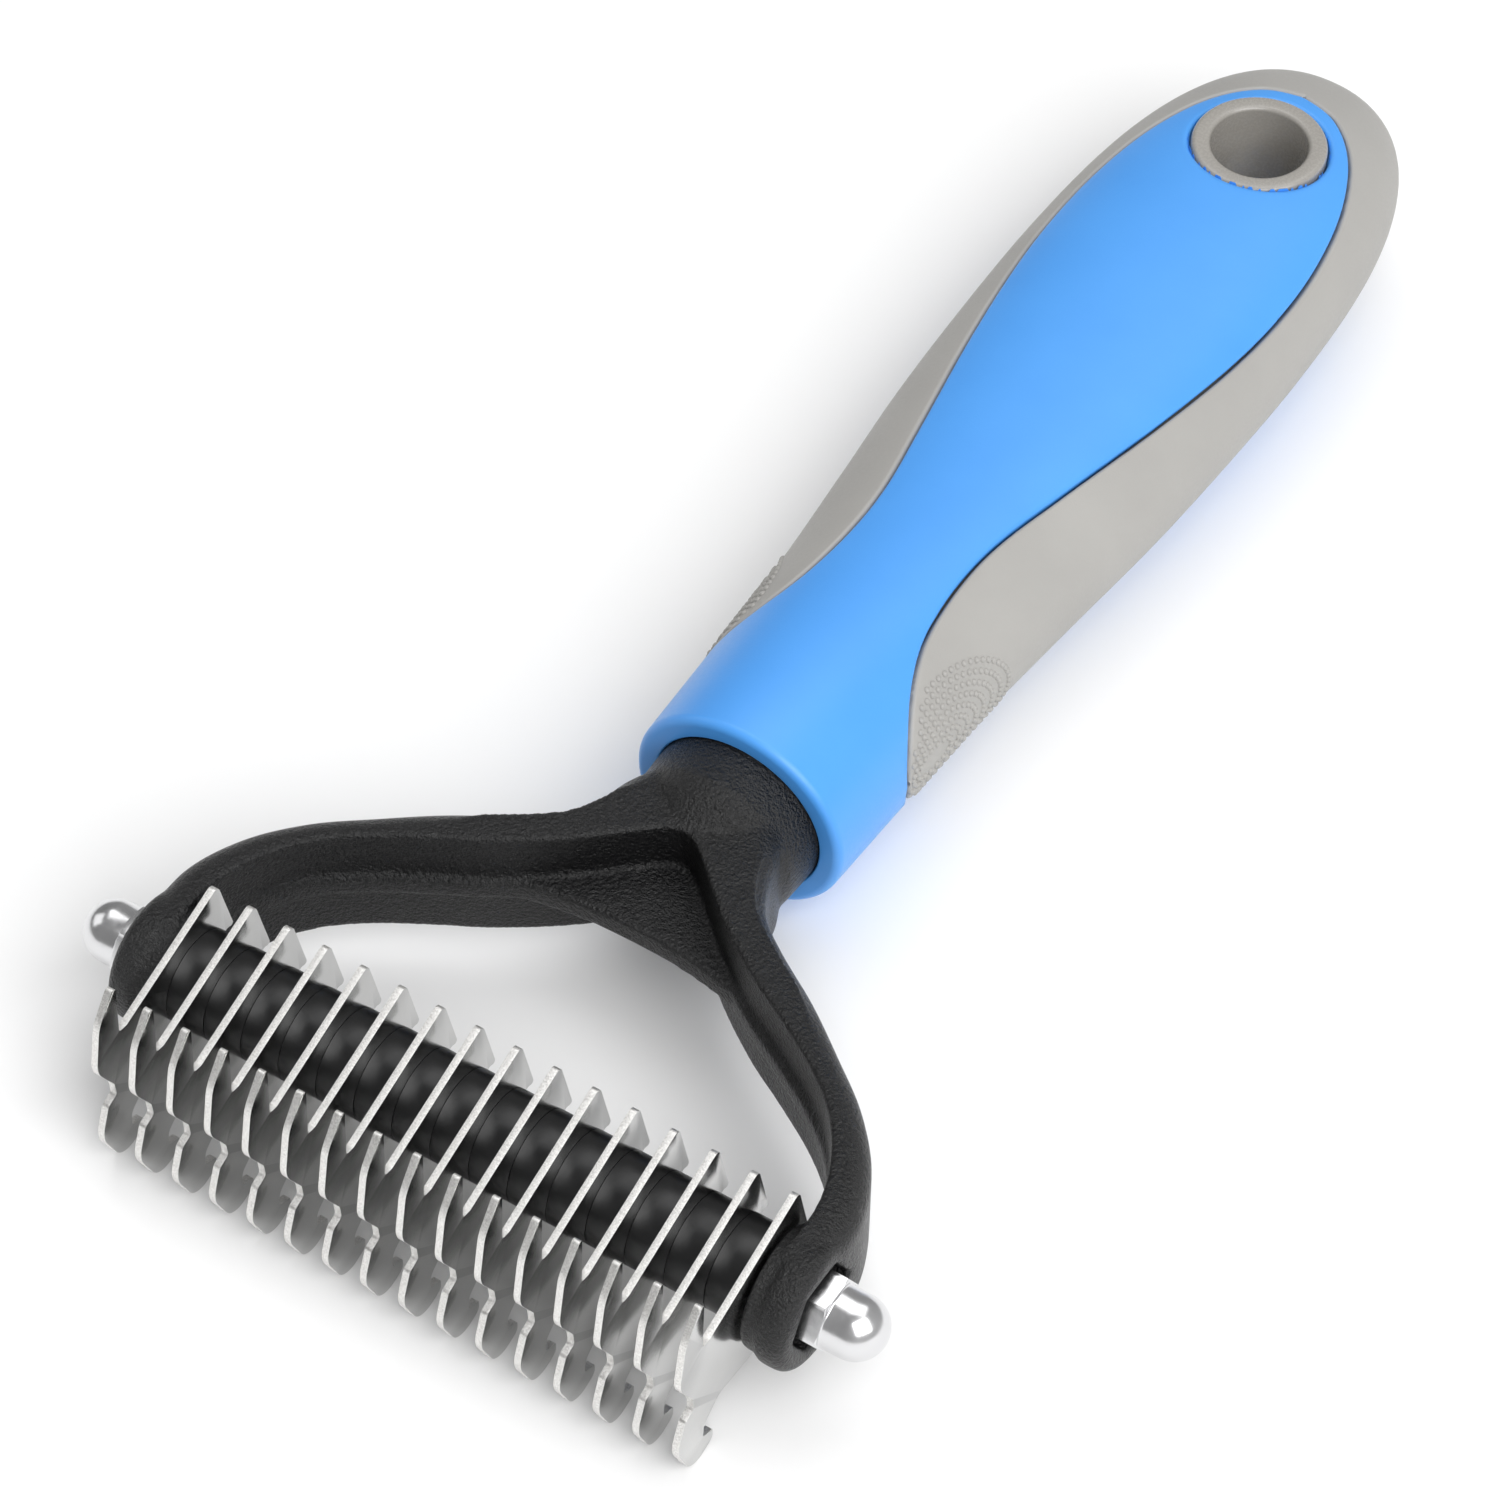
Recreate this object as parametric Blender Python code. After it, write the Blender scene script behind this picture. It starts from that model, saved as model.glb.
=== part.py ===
"""Double-sided deshedding rake: blades on a rod, held by a yoke plugged into a moulded handle.

Metres, Z up. X runs along the rod, Y runs toward the end of the handle.
The blade section, the yoke plan and the handle loft are laid out from the rod axis,
then everything is placed by AXLE_Y and AXLE_Z.
"""
import math

import bmesh
import bpy
from mathutils import Matrix, Vector

MM = 0.001

# Placement of the rod axis in the part frame (origin: middle of the box, lowest point).
AXLE_Y = -0.08691
AXLE_Z = 0.01521

# Blade stack.
BLADE_COUNT = 16
BLADE_PITCH = 0.0050
BLADE_THICKNESS = 0.00085
BLADE_BORE_RADIUS = 0.00280
SPACER_RADIUS = 0.00575
SPACER_BORE_RADIUS = 0.00280
SPACER_GAP = 0.00010
ROD_RADIUS = 0.00250

# Blade outline seen along the rod: (y, z, corner radius) in millimetres from the rod axis.
BLADE_CORNERS_MM = [
    (4.9, 10.5, 0.8),
    (7.0, 1.6, 0.35),
    (4.6, 3.2, 0.9),
    (5.6, -3.2, 3.0),
    (0.2, -8.9, 4.0),
    (-10.4, -7.9, 1.8),
    (-13.3, -10.2, 1.6),
    (-13.5, -12.3, 0.6),
    (-11.6, -13.0, 0.4),
    (-11.6, -14.6, 0.8),
    (-15.6, -16.0, 2.6),
    (-18.5, -9.4, 4.0),
    (-16.9, -5.2, 0.7),
    (-15.3, -4.6, 0.6),
    (-15.5, -2.6, 0.5),
    (-18.0, 2.0, 4.0),
    (-16.8, 8.6, 5.0),
    (-13.4, 13.2, 0.45),
    (-13.7, 4.8, 0.45),
    (-12.4, 4.6, 0.45),
]
BLADE_ARC_STEPS = 2

# Acorn nuts.
NUT_ACROSS_FLATS = 0.0080
NUT_HEX_HEIGHT = 0.0040
NUT_HEIGHT = 0.0100
NUT_DOME_RADIUS = 0.00375
NUT_BORE_RADIUS = 0.00280
NUT_BORE_DEPTH = 0.0072
NUT_BASE_X = 0.0419
NUT_CHAMFER = 0.0004
ROD_HALF_LENGTH = 0.0486

# Yoke.
BOSS_INNER_X = 0.0382
BOSS_RADIUS = 0.0074
LUG_INNER_X = 0.0402
LUG_OUTER_X = 0.0440
LUG_RADIUS = 0.0080
LUG_BORE_RADIUS = 0.0028
POCKET_FLOOR_X = 0.0417
POCKET_ACROSS_FLATS = 0.0096
ARM_HALF_DEPTH = 0.0080
ARM_EDGE_ROUND = 0.0010
WEB_HALF_DEPTH = 0.0015
NECK_RADIUS = 0.0108
NECK_ROOT_Y = 0.0412
NECK_ROOT_RADIUS = 0.0080
NECK_FLARE_Y = 0.0470
NECK_END_Y = 0.0546
TANG_RADIUS = 0.0075
TANG_END_Y = 0.0920
ARM_OUTER_MM = [(43.9, 0.0), (43.9, 7.5), (41.0, 14.5), (36.2, 20.3), (30.4, 25.0),
                (24.3, 29.6), (17.7, 33.8), (13.4, 37.2), (11.2, 41.0), (10.2, 44.5)]
ARM_INNER_MM = [(39.5, 0.0), (39.2, 6.5), (37.3, 12.0), (33.9, 17.0), (29.2, 21.0),
                (23.0, 24.8), (17.0, 28.2), (10.0, 33.2), (2.6, 39.8), (0.0, 41.0)]
WEB_EDGE_MM = [(-24.5, 25.0), (-20.0, 27.4), (-10.0, 30.0), (0.0, 30.8), (10.0, 30.0),
               (20.0, 27.4), (24.5, 25.0)]
WEB_TOP_MM = [(24.0, 27.5), (12.0, 34.5), (0.0, 43.0), (-12.0, 34.5), (-24.0, 27.5)]

# Handle.
HANDLE_START_Y = 0.0520
HANDLE_END_Y = 0.1920
HANDLE_CAP_Y = 0.1450
HANDLE_CAP_POWER = 2.55
HANDLE_EDGE_ROUND = 0.0010
SECTION_POWER = 2.2
SECTION_POINTS = 32
SKIN_THICKNESS = 0.0022
FIT_GAP = 0.0003
CORE_START_Y = 0.0552
COLLAR_BORE_RADIUS = 0.0111
HALF_WIDTH_MM = [(50.0, 13.6), (60.0, 14.0), (72.0, 14.6), (85.0, 15.4), (100.0, 16.9),
                 (118.0, 18.7), (140.0, 19.7), (160.0, 19.8), (200.0, 20.4)]
HALF_DEPTH_MM = [(50.0, 13.6), (60.0, 13.3), (72.0, 12.5), (85.0, 11.6), (100.0, 10.9),
                 (118.0, 10.4), (140.0, 10.1), (160.0, 10.0), (200.0, 10.1)]
PANEL_EDGE_MM = [(20.0, 60.0), (16.0, 63.6), (13.0, 68.0), (10.4, 73.0), (8.5, 79.0),
                 (7.6, 87.5), (8.0, 96.0), (10.0, 107.0), (13.3, 124.0), (15.4, 138.0),
                 (16.1, 149.0), (15.6, 159.0), (13.7, 168.5), (10.2, 176.5), (5.4, 181.5),
                 (0.0, 183.2)]
GROOVE_WIDTH = 0.0003
SPLINE_STEPS = 2

# Hanging hole.
HOLE_Y = 0.1715
HOLE_RADIUS = 0.0061
RING_OUTER_RADIUS = 0.0085
RING_HALF_DEPTH = 0.0090

ROUND_SEGMENTS = 16
NUT_SEGMENTS = 18
NECK_SEGMENTS = 32
RING_SEGMENTS = 32

# Colours: (red, green, blue), roughness, metallic.
BLACK_NYLON = ("yoke_black_nylon", (0.020, 0.020, 0.022), 0.48, 0.0)
BLACK_GLOSS = ("spacer_gloss_black", (0.010, 0.010, 0.011), 0.16, 0.0)
BLADE_STEEL = ("blade_stainless", (0.62, 0.62, 0.62), 0.22, 1.0)
ROD_STEEL = ("rod_steel", (0.55, 0.55, 0.55), 0.30, 1.0)
NUT_CHROME = ("nut_chrome", (0.78, 0.78, 0.79), 0.08, 1.0)
BLUE_SOFT = ("shell_blue", (0.095, 0.400, 0.860), 0.42, 0.0)
GREY_SOFT = ("grip_grey", (0.360, 0.350, 0.330), 0.55, 0.0)
RING_GREY = ("ring_grey", (0.300, 0.285, 0.265), 0.30, 0.0)
CORE_GREY = ("core_grey", (0.240, 0.230, 0.215), 0.50, 0.0)


def clear_scene():
    for item in list(bpy.data.objects):
        bpy.data.objects.remove(item, do_unlink=True)
    for store in (bpy.data.meshes, bpy.data.materials, bpy.data.curves):
        for block in list(store):
            store.remove(block)


def material(spec):
    name, colour, roughness, metallic = spec
    found = bpy.data.materials.get(name)
    if found:
        return found
    made = bpy.data.materials.new(name)
    made.use_nodes = True
    shader = made.node_tree.nodes["Principled BSDF"]
    shader.inputs["Base Color"].default_value = (*colour, 1.0)
    shader.inputs["Roughness"].default_value = roughness
    shader.inputs["Metallic"].default_value = metallic
    made.diffuse_color = (*colour, 1.0)
    return made


def finish_mesh(bm, name, spec):
    bmesh.ops.recalc_face_normals(bm, faces=bm.faces)
    mesh = bpy.data.meshes.new(name)
    bm.to_mesh(mesh)
    bm.free()
    made = bpy.data.objects.new(name, mesh)
    bpy.context.scene.collection.objects.link(made)
    made.data.materials.append(material(spec))
    return made


def axis_matrix(axis):
    """Turns the bmesh cylinder axis (Z) to the named world axis."""
    if axis == "X":
        return Matrix.Rotation(math.pi / 2.0, 4, "Y")
    if axis == "Y":
        return Matrix.Rotation(-math.pi / 2.0, 4, "X")
    return Matrix.Identity(4)


def cylinder(name, axis, low, high, radius, segments, spec, centre=(0.0, 0.0, 0.0)):
    """Closed cylinder between two stations of one axis."""
    bm = bmesh.new()
    shift = {"X": (0.5 * (low + high), 0.0, 0.0), "Y": (0.0, 0.5 * (low + high), 0.0),
             "Z": (0.0, 0.0, 0.5 * (low + high))}[axis]
    seat = Matrix.Translation(Vector(centre) + Vector(shift)) @ axis_matrix(axis)
    bmesh.ops.create_cone(bm, cap_ends=True, segments=segments, radius1=radius,
                          radius2=radius, depth=high - low, matrix=seat)
    return finish_mesh(bm, name, spec)


def combine(target, tool, operation):
    """Exact Boolean, applied at once; the tool is removed."""
    step = target.modifiers.new("step", "BOOLEAN")
    step.operation = operation
    step.solver = "EXACT"
    step.object = tool
    bpy.context.view_layer.update()
    graph = bpy.context.evaluated_depsgraph_get()
    mesh = bpy.data.meshes.new_from_object(target.evaluated_get(graph))
    target.modifiers.clear()
    old = target.data
    target.data = mesh
    mesh.name = target.name
    bpy.data.meshes.remove(old)
    bpy.data.objects.remove(tool, do_unlink=True)
    return target


def tidy(target):
    """Welds the seams a Boolean leaves and turns big flat faces into triangles."""
    bm = bmesh.new()
    bm.from_mesh(target.data)
    bmesh.ops.remove_doubles(bm, verts=bm.verts, dist=2e-6)
    bmesh.ops.dissolve_degenerate(bm, edges=bm.edges, dist=2e-6)
    bmesh.ops.triangulate(bm, faces=bm.faces)
    bmesh.ops.recalc_face_normals(bm, faces=bm.faces)
    bm.to_mesh(target.data)
    bm.free()


def place(target, x=0.0):
    """Moves a part from the rod-axis layout to the part frame, origin on the rod axis."""
    target.location = (x, AXLE_Y, AXLE_Z)
    return target


def rounded_corners(corners, steps):
    """Closed outline whose corners are true arcs of the given radii."""
    outline = []
    count = len(corners)
    for index in range(count):
        before = Vector(corners[index - 1][:2])
        corner = Vector(corners[index][:2])
        after = Vector(corners[(index + 1) % count][:2])
        radius = corners[index][2]
        back = (before - corner).normalized()
        ahead = (after - corner).normalized()
        half = 0.5 * back.angle(ahead)
        reach = radius / math.tan(half)
        centre = corner + (back + ahead).normalized() * (radius / math.sin(half))
        start = corner + back * reach - centre
        stop = corner + ahead * reach - centre
        sweep = start.angle_signed(stop)
        for step in range(steps + 1):
            turn = Matrix.Rotation(-sweep * step / steps, 2)
            outline.append(centre + turn @ start)
    return outline


def smooth_curve(keys, steps):
    """Catmull-Rom curve through the keys, ends included."""
    points = [Vector(key) for key in keys]
    run = []
    for index in range(len(points) - 1):
        a = points[max(index - 1, 0)]
        b = points[index]
        c = points[index + 1]
        d = points[min(index + 2, len(points) - 1)]
        for step in range(steps):
            t = step / steps
            run.append(0.5 * (2.0 * b + (c - a) * t + (2.0 * a - 5.0 * b + 4.0 * c - d) * t * t
                              + (3.0 * b - a - 3.0 * c + d) * t * t * t))
    run.append(points[-1].copy())
    return run


def prism(name, outline, low, high, axis, spec, edge_round=0.0):
    """Extrudes a closed outline (metres) along X or Z between two stations."""
    bm = bmesh.new()
    ring = []
    for point in outline:
        spot = (low, point.x, point.y) if axis == "X" else (point.x, point.y, low)
        ring.append(bm.verts.new(spot))
    face = bm.faces.new(ring)
    grown = bmesh.ops.extrude_face_region(bm, geom=[face])
    moved = [item for item in grown["geom"] if isinstance(item, bmesh.types.BMVert)]
    shift = Vector((high - low, 0.0, 0.0)) if axis == "X" else Vector((0.0, 0.0, high - low))
    bmesh.ops.translate(bm, verts=moved, vec=shift)
    bmesh.ops.recalc_face_normals(bm, faces=bm.faces)
    if edge_round > 0.0:
        rims = [edge for edge in bm.edges if any(len(side.verts) > 4 for side in edge.link_faces)]
        bmesh.ops.bevel(bm, geom=rims, offset=edge_round, segments=2, profile=0.5,
                        affect="EDGES", clamp_overlap=True)
    bmesh.ops.triangulate(bm, faces=[side for side in bm.faces if len(side.verts) > 4])
    return finish_mesh(bm, name, spec)


def metres(points):
    return [Vector((point[0] * MM, point[1] * MM)) for point in points]


def blade_outline():
    return [point * MM for point in rounded_corners(BLADE_CORNERS_MM, BLADE_ARC_STEPS)]


def make_blades():
    half = 0.5 * BLADE_THICKNESS
    pattern = prism("blade_pattern", blade_outline(), -half, half, "X", BLADE_STEEL)
    bore = cylinder("bore", "X", -2.0 * half, 2.0 * half, BLADE_BORE_RADIUS, ROUND_SEGMENTS, BLADE_STEEL)
    combine(pattern, bore, "DIFFERENCE")
    tidy(pattern)
    for index in range(BLADE_COUNT):
        name = "blade_%02d" % (index + 1)
        blade = bpy.data.objects.new(name, pattern.data.copy())
        blade.data.name = name
        bpy.context.scene.collection.objects.link(blade)
        place(blade, (index - 0.5 * (BLADE_COUNT - 1)) * BLADE_PITCH)
    bpy.data.objects.remove(pattern, do_unlink=True)


def make_spacers():
    half = 0.5 * (BLADE_PITCH - BLADE_THICKNESS) - SPACER_GAP
    for index in range(BLADE_COUNT - 1):
        name = "spacer_%02d" % (index + 1)
        body = cylinder(name, "X", -half, half, SPACER_RADIUS, ROUND_SEGMENTS, BLACK_GLOSS)
        bore = cylinder("bore", "X", -2.0 * half, 2.0 * half, SPACER_BORE_RADIUS, ROUND_SEGMENTS,
                        BLACK_GLOSS)
        combine(body, bore, "DIFFERENCE")
        tidy(body)
        place(body, (index + 1 - 0.5 * BLADE_COUNT) * BLADE_PITCH)


def make_rod():
    place(cylinder("axle_rod", "X", -ROD_HALF_LENGTH, ROD_HALF_LENGTH, ROD_RADIUS, ROUND_SEGMENTS,
                   ROD_STEEL))


def lathe_x(name, profile, segments, spec, side):
    """Solid of revolution about X from (x, radius) stations whose ends lie on the axis."""
    bm = bmesh.new()
    first = bm.verts.new((side * profile[0][0], 0.0, 0.0))
    last = bm.verts.new((side * profile[-1][0], 0.0, 0.0))
    rings = []
    for x, radius in profile[1:-1]:
        ring = []
        for index in range(segments):
            angle = 2.0 * math.pi * index / segments
            ring.append(bm.verts.new((side * x, radius * math.cos(angle), radius * math.sin(angle))))
        rings.append(ring)
    for index in range(segments):
        nxt = (index + 1) % segments
        bm.faces.new((first, rings[0][index], rings[0][nxt]))
        for lower, upper in zip(rings, rings[1:]):
            bm.faces.new((lower[index], upper[index], upper[nxt], lower[nxt]))
        bm.faces.new((rings[-1][index], last, rings[-1][nxt]))
    return finish_mesh(bm, name, spec)


def hex_prism(name, low, high, across_flats, spec):
    return cylinder(name, "X", low, high, across_flats / math.sqrt(3.0), 6, spec)


def nut_dome_profile():
    """Chamfered drum with a ball end; cuts the hexagon's corners and forms the dome."""
    corner = NUT_ACROSS_FLATS / math.sqrt(3.0)
    ball_x = NUT_HEIGHT - NUT_DOME_RADIUS
    profile = [(0.0, 0.0), (0.0, corner - NUT_CHAMFER), (NUT_CHAMFER, corner + NUT_CHAMFER),
               (NUT_HEX_HEIGHT - NUT_CHAMFER, corner + NUT_CHAMFER),
               (NUT_HEX_HEIGHT, corner - NUT_CHAMFER), (NUT_HEX_HEIGHT, NUT_DOME_RADIUS)]
    arcs = 5
    for step in range(arcs):
        angle = 0.5 * math.pi * step / arcs
        profile.append((ball_x + NUT_DOME_RADIUS * math.sin(angle), NUT_DOME_RADIUS * math.cos(angle)))
    profile.append((NUT_HEIGHT, 0.0))
    return [(NUT_BASE_X + x, radius) for x, radius in profile]


def make_nut(name, side):
    nut = lathe_x(name, nut_dome_profile(), NUT_SEGMENTS, NUT_CHROME, side)
    reach = NUT_BASE_X + 2.0 * NUT_HEIGHT
    hexagon = hex_prism("hexagon", 0.9 * NUT_BASE_X, NUT_BASE_X + NUT_HEX_HEIGHT, NUT_ACROSS_FLATS,
                        NUT_CHROME)
    dome_bar = cylinder("dome_bar", "X", NUT_BASE_X + 0.5 * NUT_HEX_HEIGHT, reach,
                        NUT_DOME_RADIUS + NUT_CHAMFER, NUT_SEGMENTS, NUT_CHROME)
    combine(hexagon, dome_bar, "UNION")
    bore = cylinder("bore", "X", 0.9 * NUT_BASE_X, NUT_BASE_X + NUT_BORE_DEPTH, NUT_BORE_RADIUS,
                    ROUND_SEGMENTS, NUT_CHROME)
    if side < 0:
        for tool in (hexagon, bore):
            tool.data.transform(Matrix.Rotation(math.pi, 4, "Z"))
    combine(nut, hexagon, "INTERSECT")
    combine(nut, bore, "DIFFERENCE")
    tidy(nut)
    place(nut)


def arm_outline():
    outer = smooth_curve(ARM_OUTER_MM, SPLINE_STEPS)
    inner = smooth_curve(ARM_INNER_MM, SPLINE_STEPS)
    right = outer + [Vector((0.0, NECK_FLARE_Y / MM + 2.0))]
    left = [Vector((-point.x, point.y)) for point in reversed(outer)]
    inside_left = [Vector((-point.x, point.y)) for point in inner]
    inside_right = list(reversed(inner))[1:]
    return metres(right + left + inside_left + inside_right)


def web_outline():
    return metres(smooth_curve(WEB_EDGE_MM, SPLINE_STEPS) + [Vector(key) for key in WEB_TOP_MM])


def make_yoke():
    yoke = prism("yoke", arm_outline(), -ARM_HALF_DEPTH, ARM_HALF_DEPTH, "Z", BLACK_NYLON,
                 ARM_EDGE_ROUND)
    web = prism("web", web_outline(), -WEB_HALF_DEPTH, WEB_HALF_DEPTH, "Z", BLACK_NYLON)
    combine(yoke, web, "UNION")
    profile = [(NECK_ROOT_Y, 0.0), (NECK_ROOT_Y, NECK_ROOT_RADIUS), (NECK_FLARE_Y, NECK_RADIUS),
               (NECK_END_Y, NECK_RADIUS), (NECK_END_Y, TANG_RADIUS), (TANG_END_Y, TANG_RADIUS),
               (TANG_END_Y, 0.0)]
    neck = lathe_x("neck", profile, NECK_SEGMENTS, BLACK_NYLON, 1)
    neck.data.transform(Matrix.Rotation(0.5 * math.pi, 4, "Z"))
    combine(yoke, neck, "UNION")
    for side in (-1, 1):
        low = min(side * LUG_INNER_X, side * LUG_OUTER_X)
        high = max(side * LUG_INNER_X, side * LUG_OUTER_X)
        lug = cylinder("lug", "X", low, high, LUG_RADIUS, NECK_SEGMENTS, BLACK_NYLON)
        combine(yoke, lug, "UNION")
        low = min(side * BOSS_INNER_X, side * LUG_OUTER_X)
        high = max(side * BOSS_INNER_X, side * LUG_OUTER_X)
        boss = cylinder("boss", "X", low, high, BOSS_RADIUS, NECK_SEGMENTS, BLACK_NYLON)
        combine(yoke, boss, "UNION")
    for side in (-1, 1):
        low = min(side * 0.9 * BOSS_INNER_X, side * 1.1 * LUG_OUTER_X)
        high = max(side * 0.9 * BOSS_INNER_X, side * 1.1 * LUG_OUTER_X)
        bore = cylinder("bore", "X", low, high, LUG_BORE_RADIUS, ROUND_SEGMENTS, BLACK_NYLON)
        combine(yoke, bore, "DIFFERENCE")
        low = min(side * POCKET_FLOOR_X, side * 1.1 * LUG_OUTER_X)
        high = max(side * POCKET_FLOOR_X, side * 1.1 * LUG_OUTER_X)
        pocket = hex_prism("pocket", low, high, POCKET_ACROSS_FLATS, BLACK_NYLON)
        combine(yoke, pocket, "DIFFERENCE")
    tidy(yoke)
    place(yoke)


def interpolate(keys, station):
    """Smooth value of a table of (station, value) pairs."""
    run = smooth_curve(keys, 8)
    for before, after in zip(run, run[1:]):
        if before.x <= station <= after.x:
            share = (station - before.x) / (after.x - before.x)
            return before.y + (after.y - before.y) * share
    return run[-1].y


def cap_factor(y, end):
    if y <= HANDLE_CAP_Y:
        return 1.0
    run = (y - HANDLE_CAP_Y) / (end - HANDLE_CAP_Y)
    return max(1.0 - run ** HANDLE_CAP_POWER, 0.0) ** (1.0 / HANDLE_CAP_POWER)


def handle_section(bm, y, inset, end):
    """One ring of the handle loft; the section eases from a circle to a fuller oval."""
    width = interpolate(HALF_WIDTH_MM, y / MM) * MM - inset
    depth = interpolate(HALF_DEPTH_MM, y / MM) * MM - inset
    factor = cap_factor(y, end)
    width *= factor
    depth *= factor ** 0.8
    ease = min(max((y - HANDLE_START_Y) / (HANDLE_CAP_Y - HANDLE_START_Y), 0.0), 1.0)
    power = 2.0 + (SECTION_POWER - 2.0) * ease
    ring = []
    for index in range(SECTION_POINTS):
        angle = 2.0 * math.pi * (index + 0.5) / SECTION_POINTS
        cosine = math.cos(angle)
        sine = math.sin(angle)
        x = math.copysign(abs(cosine) ** (2.0 / power), cosine) * width
        z = math.copysign(abs(sine) ** (2.0 / power), sine) * depth
        ring.append(bm.verts.new((x, y, z)))
    return ring


def handle_stations(start, end):
    """Stations along the handle, closer together toward the rounded end."""
    straight = 8
    curved = 7
    stations = [start + (HANDLE_CAP_Y - start) * step / straight for step in range(straight)]
    for step in range(curved):
        stations.append(HANDLE_CAP_Y + (end - HANDLE_CAP_Y) * math.sin(0.5 * math.pi * step / curved))
    return stations


def handle_loft(name, start, inset, spec, front_round=0.0):
    end = HANDLE_END_Y - inset
    bm = bmesh.new()
    rings = []
    if front_round > 0.0:
        rings.append(handle_section(bm, start, inset + front_round, end))
        rings.append(handle_section(bm, start + 0.3 * front_round, inset + 0.3 * front_round, end))
        start = start + front_round
    for y in handle_stations(start, end):
        rings.append(handle_section(bm, y, inset, end))
    tip = bm.verts.new((0.0, end, 0.0))
    bm.faces.new(rings[0])
    for lower, upper in zip(rings, rings[1:]):
        for index in range(SECTION_POINTS):
            nxt = (index + 1) % SECTION_POINTS
            bm.faces.new((lower[index], lower[nxt], upper[nxt], upper[index]))
    for index in range(SECTION_POINTS):
        bm.faces.new((rings[-1][index], rings[-1][(index + 1) % SECTION_POINTS], tip))
    return finish_mesh(bm, name, spec)


def panel_outline(grow):
    """Plan of the blue moulding: the whole collar, then a waisted tongue to the hanging hole."""
    edge = smooth_curve(PANEL_EDGE_MM, SPLINE_STEPS)
    spread = []
    for index, point in enumerate(edge):
        before = edge[max(index - 1, 0)]
        after = edge[min(index + 1, len(edge) - 1)]
        along = (after - before).normalized()
        away = Vector((along.y, -along.x))
        if index == len(edge) - 1:
            away = Vector((0.0, 1.0))
        spread.append(point + away * (grow / MM))
    left = [Vector((-point.x, point.y)) for point in reversed(spread[:-1])]
    base = [Vector((-30.0, spread[0].y)), Vector((-30.0, 40.0)), Vector((30.0, 40.0)),
            Vector((30.0, spread[0].y))]
    return metres(base + spread + left)


def make_skin(name, spec):
    """The moulded skin of the handle before it is parted into blue and grey."""
    skin = handle_loft(name, HANDLE_START_Y, 0.0, spec, HANDLE_EDGE_ROUND)
    inside = handle_loft("inside", CORE_START_Y - FIT_GAP, SKIN_THICKNESS, spec)
    combine(skin, inside, "DIFFERENCE")
    mouth = cylinder("mouth", "Y", HANDLE_START_Y - HANDLE_EDGE_ROUND, CORE_START_Y, COLLAR_BORE_RADIUS,
                     NECK_SEGMENTS, spec)
    combine(skin, mouth, "DIFFERENCE")
    return skin


def cut_hanging_hole(target, radius, spec):
    hole = cylinder("hole", "Z", -2.0 * RING_HALF_DEPTH, 2.0 * RING_HALF_DEPTH, radius, RING_SEGMENTS,
                    spec, centre=(0.0, HOLE_Y, 0.0))
    combine(target, hole, "DIFFERENCE")


def make_handle():
    tall = 2.0 * COLLAR_BORE_RADIUS
    shell = make_skin("handle_shell", BLUE_SOFT)
    combine(shell, prism("panel", panel_outline(0.0), -tall, tall, "Z", BLUE_SOFT), "INTERSECT")
    cut_hanging_hole(shell, RING_OUTER_RADIUS + FIT_GAP, BLUE_SOFT)
    tidy(shell)
    place(shell)

    grip = make_skin("grip_band", GREY_SOFT)
    combine(grip, prism("panel", panel_outline(GROOVE_WIDTH), -tall, tall, "Z", GREY_SOFT), "DIFFERENCE")
    tidy(grip)
    place(grip)

    core = handle_loft("handle_core", CORE_START_Y, SKIN_THICKNESS + FIT_GAP, CORE_GREY)
    socket = cylinder("socket", "Y", CORE_START_Y - FIT_GAP, TANG_END_Y + FIT_GAP, TANG_RADIUS + FIT_GAP,
                      NECK_SEGMENTS, CORE_GREY)
    combine(core, socket, "DIFFERENCE")
    cut_hanging_hole(core, RING_OUTER_RADIUS + FIT_GAP, CORE_GREY)
    tidy(core)
    place(core)

    ring = cylinder("hang_ring", "Z", -RING_HALF_DEPTH, RING_HALF_DEPTH, RING_OUTER_RADIUS, RING_SEGMENTS,
                    RING_GREY, centre=(0.0, HOLE_Y, 0.0))
    cut_hanging_hole(ring, HOLE_RADIUS, RING_GREY)
    tidy(ring)
    place(ring)


def build():
    clear_scene()
    make_blades()
    make_spacers()
    make_rod()
    make_nut("nut_left", -1)
    make_nut("nut_right", 1)
    make_yoke()
    make_handle()


build()
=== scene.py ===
import math

import bmesh
import bpy
import numpy as np
from mathutils import Matrix, Vector, geometry, kdtree


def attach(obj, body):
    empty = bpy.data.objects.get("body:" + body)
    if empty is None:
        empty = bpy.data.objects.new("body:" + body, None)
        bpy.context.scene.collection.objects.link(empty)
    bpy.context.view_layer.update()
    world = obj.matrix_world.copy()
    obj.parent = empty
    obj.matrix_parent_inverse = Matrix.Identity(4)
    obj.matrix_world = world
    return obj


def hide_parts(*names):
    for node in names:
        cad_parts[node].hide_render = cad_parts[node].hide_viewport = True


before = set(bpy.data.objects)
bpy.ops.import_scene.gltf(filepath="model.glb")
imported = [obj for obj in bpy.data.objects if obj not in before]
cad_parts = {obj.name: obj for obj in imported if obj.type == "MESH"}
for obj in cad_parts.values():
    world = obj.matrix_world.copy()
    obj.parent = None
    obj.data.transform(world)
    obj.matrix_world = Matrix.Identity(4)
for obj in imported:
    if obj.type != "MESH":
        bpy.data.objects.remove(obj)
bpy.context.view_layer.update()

MM = 0.001

# Rod axis in the part frame (millimetres); shapes below are laid out from it.
AXLE_Y = -86.91
AXLE_Z = 15.21

BODY = "handle_and_yoke"
BLADES = "blade_set"


# ---------------------------------------------------------------- materials

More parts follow.
